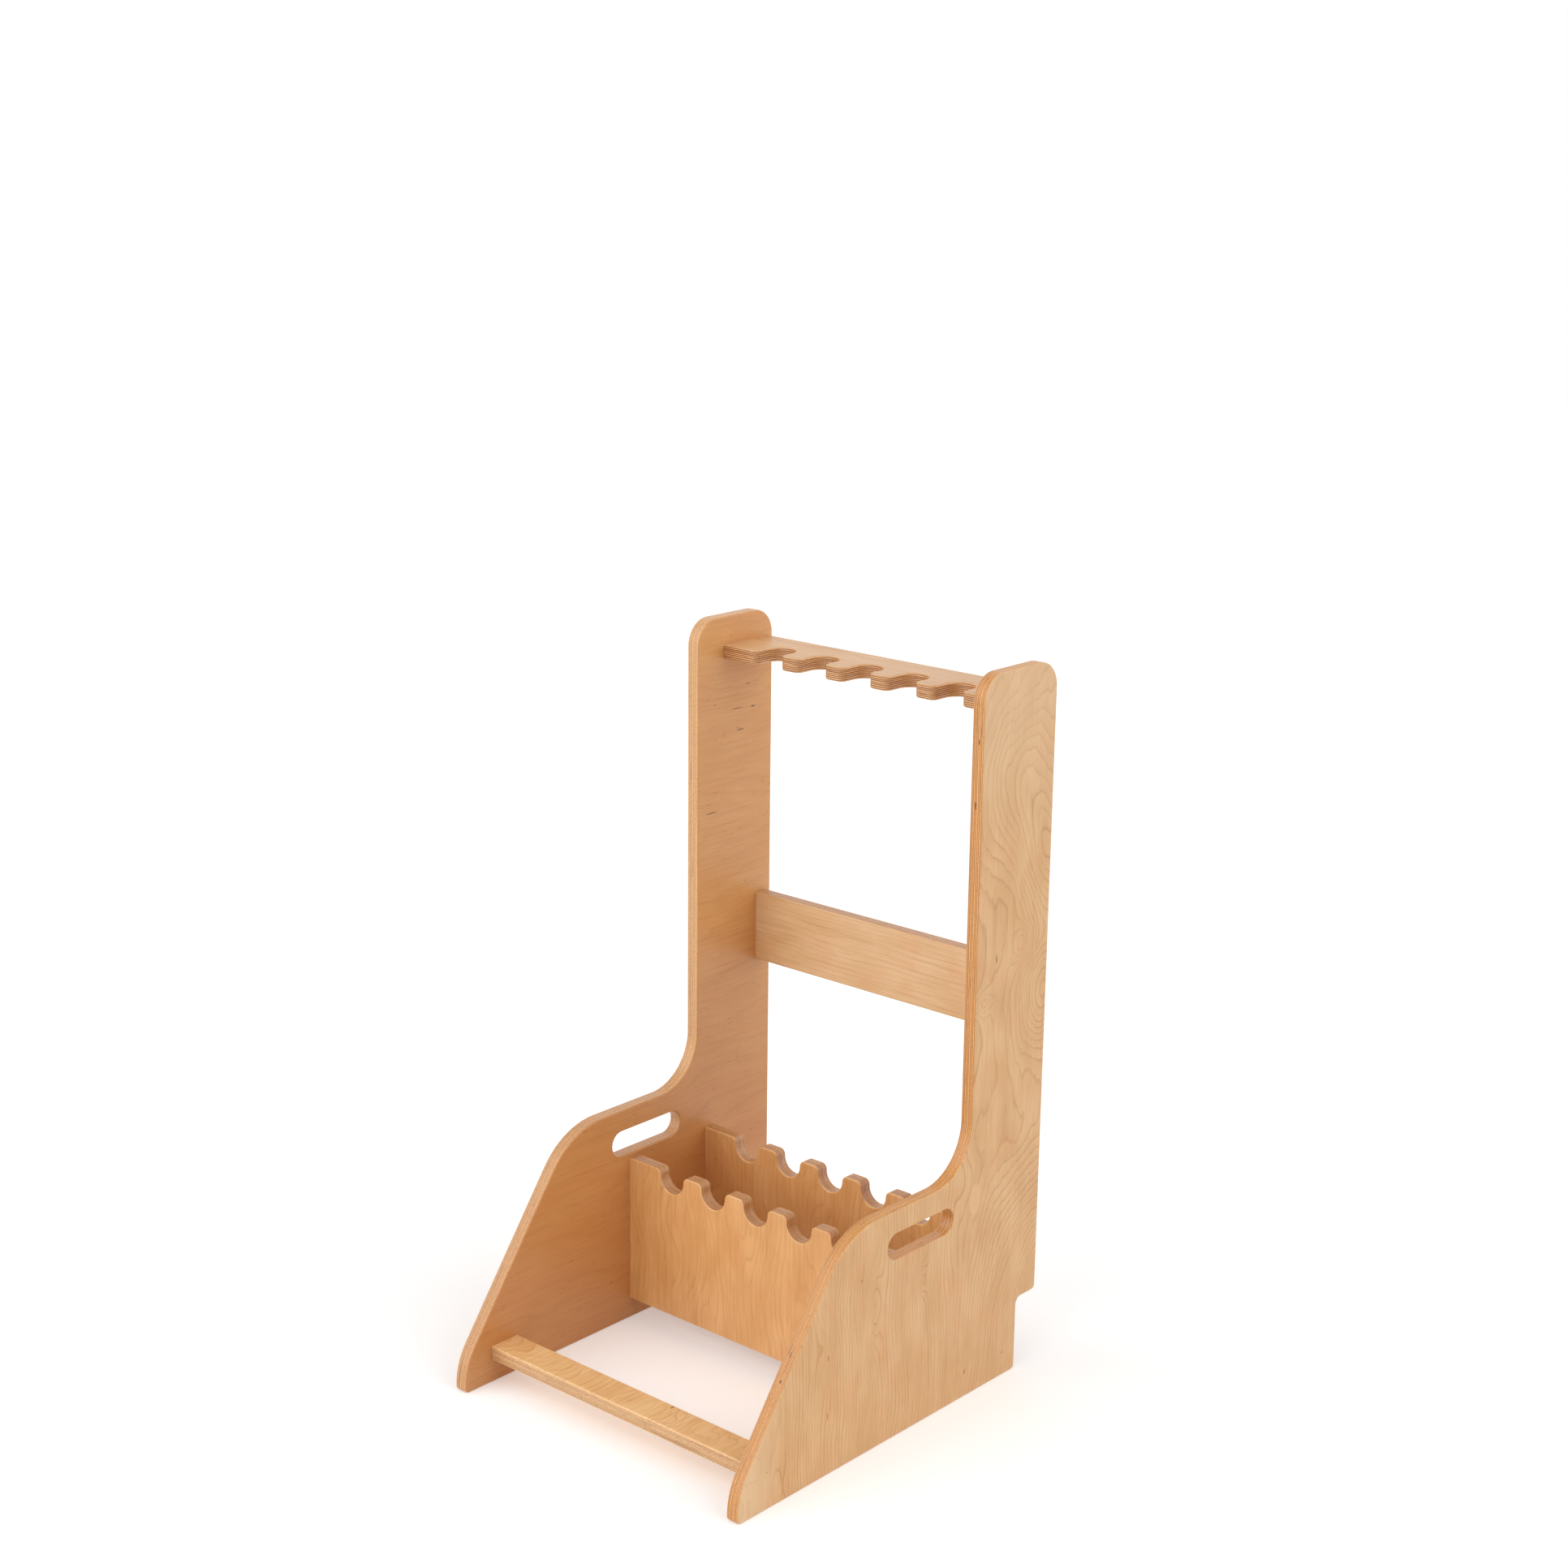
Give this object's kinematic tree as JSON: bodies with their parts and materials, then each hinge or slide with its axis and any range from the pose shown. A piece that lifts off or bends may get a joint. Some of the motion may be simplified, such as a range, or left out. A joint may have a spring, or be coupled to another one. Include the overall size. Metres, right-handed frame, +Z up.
{
  "type": "c-stand storage rack",
  "caption": "Free-standing plywood rack with two tall side panels, a slotted shelf for stand columns, notched leg boards, rails and hand-holes.",
  "frame": {"origin": "on the floor, at the middle of the rack's width and depth", "axes": "+X towards the right side panel as seen from the front, +Y from the toes to the rear edges, +Z up"},
  "size_m": [0.542, 0.635, 1.042],
  "materials": {
    "birch_plywood": "clear satin lacquer over rotary-cut birch veneer, with fifteen plies showing on the edges",
    "beech_dowel": "plain turned beech, glued in, not visible"
  },
  "bodies": {
    "root": {"left_side_panel": "birch_plywood", "right_side_panel": "birch_plywood", "comb_shelf": "birch_plywood", "middle_rail": "birch_plywood", "foot_rail": "birch_plywood", "front_leg_comb": "birch_plywood", "rear_leg_comb": "birch_plywood", "shelf_dowels": "beech_dowel", "middle_rail_dowels": "beech_dowel", "foot_rail_dowels": "beech_dowel", "front_comb_dowels": "beech_dowel", "rear_comb_dowels": "beech_dowel"}
  },
  "joints": []
}
